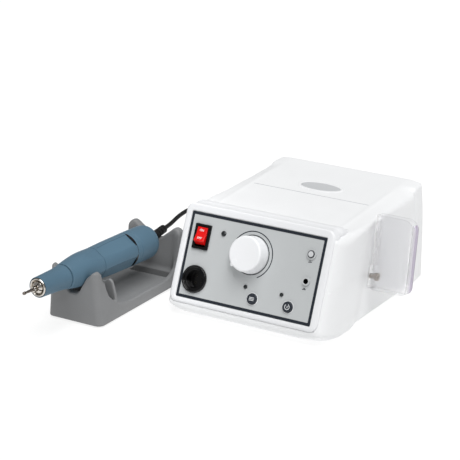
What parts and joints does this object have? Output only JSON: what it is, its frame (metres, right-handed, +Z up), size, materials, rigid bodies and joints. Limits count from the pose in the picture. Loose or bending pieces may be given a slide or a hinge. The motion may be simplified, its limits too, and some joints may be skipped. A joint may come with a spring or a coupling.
{
  "type": "nail drill machine",
  "caption": "Desk-top nail drill: white control unit with tilted grey panel and clear side holder, plus a blue-grey rotary handpiece on a cord, lying in a grey cradle stand.",
  "frame": {"origin": "on the table top, in the middle of the whole set's outline (control unit, side holder, stand and handpiece, without the cord)", "axes": "+X to the right as seen from the front, +Y towards the back, along the handpiece and the unit's depth, +Z up from the table"},
  "size_m": [0.2625, 0.3652, 0.0892],
  "materials": {
    "case_white": "smooth white moulding",
    "panel_grey": "silver-grey printed sheet",
    "rear_grey": "satin grey sheet",
    "black_plastic": "satin black moulding",
    "red_plastic": "translucent red moulding",
    "white_plastic": "smooth white moulding",
    "lamp_dark": "smoked lens",
    "key_dark": "dark key cap",
    "board_green": "circuit board",
    "steel": "bright steel",
    "chrome": "polished",
    "gold": "gilt contacts",
    "alu": "plain extrusion",
    "core": "stacked steel sheets",
    "copper": "enamelled copper wire",
    "rubber_black": "black rubber",
    "clear": "clear moulding",
    "stand_grey": "fine matt grey moulding",
    "hand_blue": "blue-grey matt coat",
    "fuse_glass": "glass tube",
    "magnet": "ferrite",
    "carbon": "carbon"
  },
  "bodies": {
    "unit": {"lower_case": "case_white", "upper_case": "case_white", "front_bezel": "case_white", "front_panel": "panel_grey", "rear_panel": "rear_grey", "switch_body": "black_plastic", "speed_pot": "steel", "pot_nut": "steel", "handpiece_socket": "black_plastic", "socket_contacts": "gold", "indicator_lamps": "lamp_dark", "button_switches": "black_plastic", "control_board": "board_green", "breaker_body": "black_plastic", "foot_jack": "black_plastic", "heat_sink": "alu", "transformer_core": "core", "transformer_winding": "copper", "pan_screws": "steel", "mains_inlet": "black_plastic", "inlet_pins": "steel", "fuse_holder": "black_plastic", "rubber_feet": "rubber_black", "top_plate": "panel_grey", "holder_screw": "steel"},
    "rocker": {"power_rocker": "red_plastic"},
    "knob": {"speed_knob": "white_plastic", "pot_shaft": "steel"},
    "mode_key": {"mode_button": "key_dark"},
    "direction_key": {"direction_button": "key_dark"},
    "reset_key": {"reset_button": "white_plastic"},
    "holder": {"clear_holder": "clear"},
    "fuse_carrier": {"fuse_cap": "black_plastic", "fuse": "fuse_glass"},
    "cradle": {"stand": "stand_grey", "stand_pads": "rubber_black", "cord_lead": "rubber_black", "cord_coil": "rubber_black", "cord_tail": "rubber_black", "plug_body": "black_plastic", "plug_pins": "gold"},
    "handpiece": {"nose_cone": "hand_blue", "motor_case": "hand_blue", "slot_ring": "black_plastic", "rear_cap": "hand_blue", "nose_ring": "chrome", "spindle_bearings": "steel", "magnets": "magnet", "motor_bearings": "steel", "brushes": "carbon", "strain_relief": "rubber_black"},
    "grip": {"twist_sleeve": "hand_blue"},
    "rotor": {"collet": "chrome", "spindle": "steel", "drive_coupling": "black_plastic", "motor_shaft": "steel", "armature": "core", "commutator": "copper"},
    "bur": {"bur": "chrome"}
  },
  "joints": [
    {"name": "rocker_tip", "type": "hinge", "parent": "unit", "child": "rocker", "pos_m": [-0.0297, -0.0085, 0.06337], "axis": [1, 0, 0], "range_deg": [0, 32]},
    {"name": "knob_turn", "type": "hinge", "parent": "unit", "child": "knob", "pos_m": [0.0188, -0.01414, 0.05922], "axis": [0, -0.9225, 0.3859], "range_deg": [-285, 0]},
    {"name": "mode_press", "type": "slide", "parent": "unit", "child": "mode_key", "axis": [0, 0.9225, -0.3859], "range_m": [0, 0.0005], "stiffness_N_per_m": 2000},
    {"name": "direction_press", "type": "slide", "parent": "unit", "child": "direction_key", "axis": [0, 0.9225, -0.3859], "range_m": [0, 0.0005], "stiffness_N_per_m": 2000},
    {"name": "reset_press", "type": "slide", "parent": "unit", "child": "reset_key", "axis": [0, 0.9225, -0.3859], "range_m": [0, 0.0015], "stiffness_N_per_m": 1200},
    {"name": "holder_swivel", "type": "hinge", "parent": "unit", "child": "holder", "pos_m": [0.0953, 0.049, 0.036], "axis": [1, 0, 0], "range_deg": [-30, 45]},
    {"name": "fuse_pull", "type": "slide", "parent": "unit", "child": "fuse_carrier", "axis": [0, 1, 0], "range_m": [0, 0.03]},
    {"name": "stand_slide", "type": "slide", "parent": "unit", "child": "cradle", "axis": [-1, 0, 0], "range_m": [0, 0.05]},
    {"name": "handpiece_lift", "type": "slide", "parent": "cradle", "child": "handpiece", "axis": [0, 0, 1], "range_m": [0, 0.06]},
    {"name": "chuck_twist", "type": "hinge", "parent": "handpiece", "child": "grip", "pos_m": [-0.1055, -0.1352, 0.0456], "axis": [0.0192, 0.9988, -0.0454], "range_deg": [-60, 0]},
    {"name": "spindle_spin", "type": "hinge", "parent": "handpiece", "child": "rotor", "pos_m": [-0.1055, -0.1352, 0.0456], "axis": [0.0192, 0.9988, -0.0454], "continuous": true},
    {"name": "bur_pull", "type": "slide", "parent": "rotor", "child": "bur", "axis": [-0.0192, -0.9988, 0.0454], "range_m": [0, 0.03]}
  ]
}
